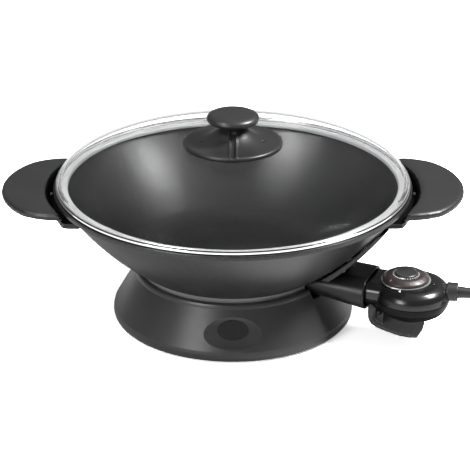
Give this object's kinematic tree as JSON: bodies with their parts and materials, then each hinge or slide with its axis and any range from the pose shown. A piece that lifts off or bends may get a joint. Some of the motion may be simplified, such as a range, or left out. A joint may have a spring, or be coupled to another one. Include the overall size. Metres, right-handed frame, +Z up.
{
  "type": "electric wok",
  "caption": "Electric wok: a coated bowl with side handles on a flared base, a loose glass lid with a steel rim, and a plug-in temperature control with its mains lead.",
  "frame": {"origin": "middle of the base on the table plane, at the undersides of the rubber feet", "axes": "+Z up; the side handles lie along X; the front of the base faces -Y; the control points towards +X and 22 degrees towards the front"},
  "size_m": [0.6612, 0.3598, 0.2177],
  "materials": {
    "base_skirt": "satin charcoal moulding",
    "base_plate": "fine-textured moulding",
    "base_badge": "satin, bare",
    "rubber_feet": "soft, dull",
    "base_screws": "zinc-plated",
    "seat_pads": "silicone, dull",
    "wok_bowl": "cast, black non-stick coat with fine grey speckle",
    "heating_element": "heat-tinted sheath, bare pins",
    "terminal_bushes": "unglazed steatite",
    "terminal_plate": "stamped",
    "socket_shroud": "satin phenolic moulding",
    "shroud_saddle": "satin phenolic moulding",
    "shroud_screws": "zinc-plated",
    "handle_left": "satin phenolic moulding",
    "handle_right": "satin phenolic moulding",
    "handle_screws": "zinc-plated",
    "lid_glass": "clear tempered dome",
    "lid_rim": "polished stainless",
    "knob_flare": "satin moulding",
    "knob_cap": "satin moulding",
    "knob_insert": "turned",
    "knob_gasket": "silicone",
    "knob_screw": "bright, with a washer",
    "probe_top_cover": "glossy moulding",
    "probe_bottom_cover": "glossy moulding",
    "probe_screws": "zinc-plated",
    "dial_bezel": "polished ring",
    "thermostat": "spring and bracket steel",
    "contact_sockets": "turned",
    "sensor_rod": "ground stainless",
    "indicator_lamp": "clear dark red",
    "lever_pin": "plain",
    "strain_relief": "moulded sleeve",
    "cord_lead": "round sheath",
    "cord_coil": "round sheath",
    "cord_tail": "round sheath",
    "cord_tie": "flexible strap",
    "mains_plug": "moulded",
    "plug_pins": "nickel-plated",
    "dial_knob": "glossy black",
    "dial_scale_ring": "smoky red, with a printed scale",
    "dial_shaft": "turned",
    "ejector_lever": "fine-textured moulding"
  },
  "bodies": {
    "base": {"base_skirt": "base_skirt", "base_plate": "base_plate", "base_badge": "base_badge", "rubber_feet": "rubber_feet", "base_screws": "base_screws", "seat_pads": "seat_pads"},
    "pan": {"wok_bowl": "wok_bowl", "heating_element": "heating_element", "terminal_bushes": "terminal_bushes", "terminal_plate": "terminal_plate", "socket_shroud": "socket_shroud", "shroud_saddle": "shroud_saddle", "shroud_screws": "shroud_screws", "handle_left": "handle_left", "handle_right": "handle_right", "handle_screws": "handle_screws"},
    "lid": {"lid_glass": "lid_glass", "lid_rim": "lid_rim", "knob_flare": "knob_flare", "knob_cap": "knob_cap", "knob_insert": "knob_insert", "knob_gasket": "knob_gasket", "knob_screw": "knob_screw"},
    "control": {"probe_top_cover": "probe_top_cover", "probe_bottom_cover": "probe_bottom_cover", "probe_screws": "probe_screws", "dial_bezel": "dial_bezel", "thermostat": "thermostat", "contact_sockets": "contact_sockets", "sensor_rod": "sensor_rod", "indicator_lamp": "indicator_lamp", "lever_pin": "lever_pin", "strain_relief": "strain_relief", "cord_lead": "cord_lead", "cord_coil": "cord_coil", "cord_tail": "cord_tail", "cord_tie": "cord_tie", "mains_plug": "mains_plug", "plug_pins": "plug_pins"},
    "dial": {"dial_knob": "dial_knob", "dial_scale_ring": "dial_scale_ring", "dial_shaft": "dial_shaft"},
    "lever": {"ejector_lever": "ejector_lever"}
  },
  "joints": [
    {"name": "pan_lift", "type": "slide", "parent": "base", "child": "pan", "axis": [0, 0, 1], "range_m": [0, 0.15]},
    {"name": "lid_lift", "type": "slide", "parent": "pan", "child": "lid", "axis": [0, 0, 1], "range_m": [0, 0.2]},
    {"name": "control_pull", "type": "slide", "parent": "pan", "child": "control", "axis": [0.9272, -0.3746, 0], "range_m": [0, 0.09]},
    {"name": "dial_turn", "type": "hinge", "parent": "control", "child": "dial", "pos_m": [0.17125, -0.06919, 0.068], "axis": [0, 0, -1], "range_deg": [0, 290]},
    {"name": "lever_squeeze", "type": "hinge", "parent": "control", "child": "lever", "pos_m": [0.1502, -0.06069, 0.033], "axis": [-0.3746, -0.9272, 0], "range_deg": [0, 8]}
  ]
}
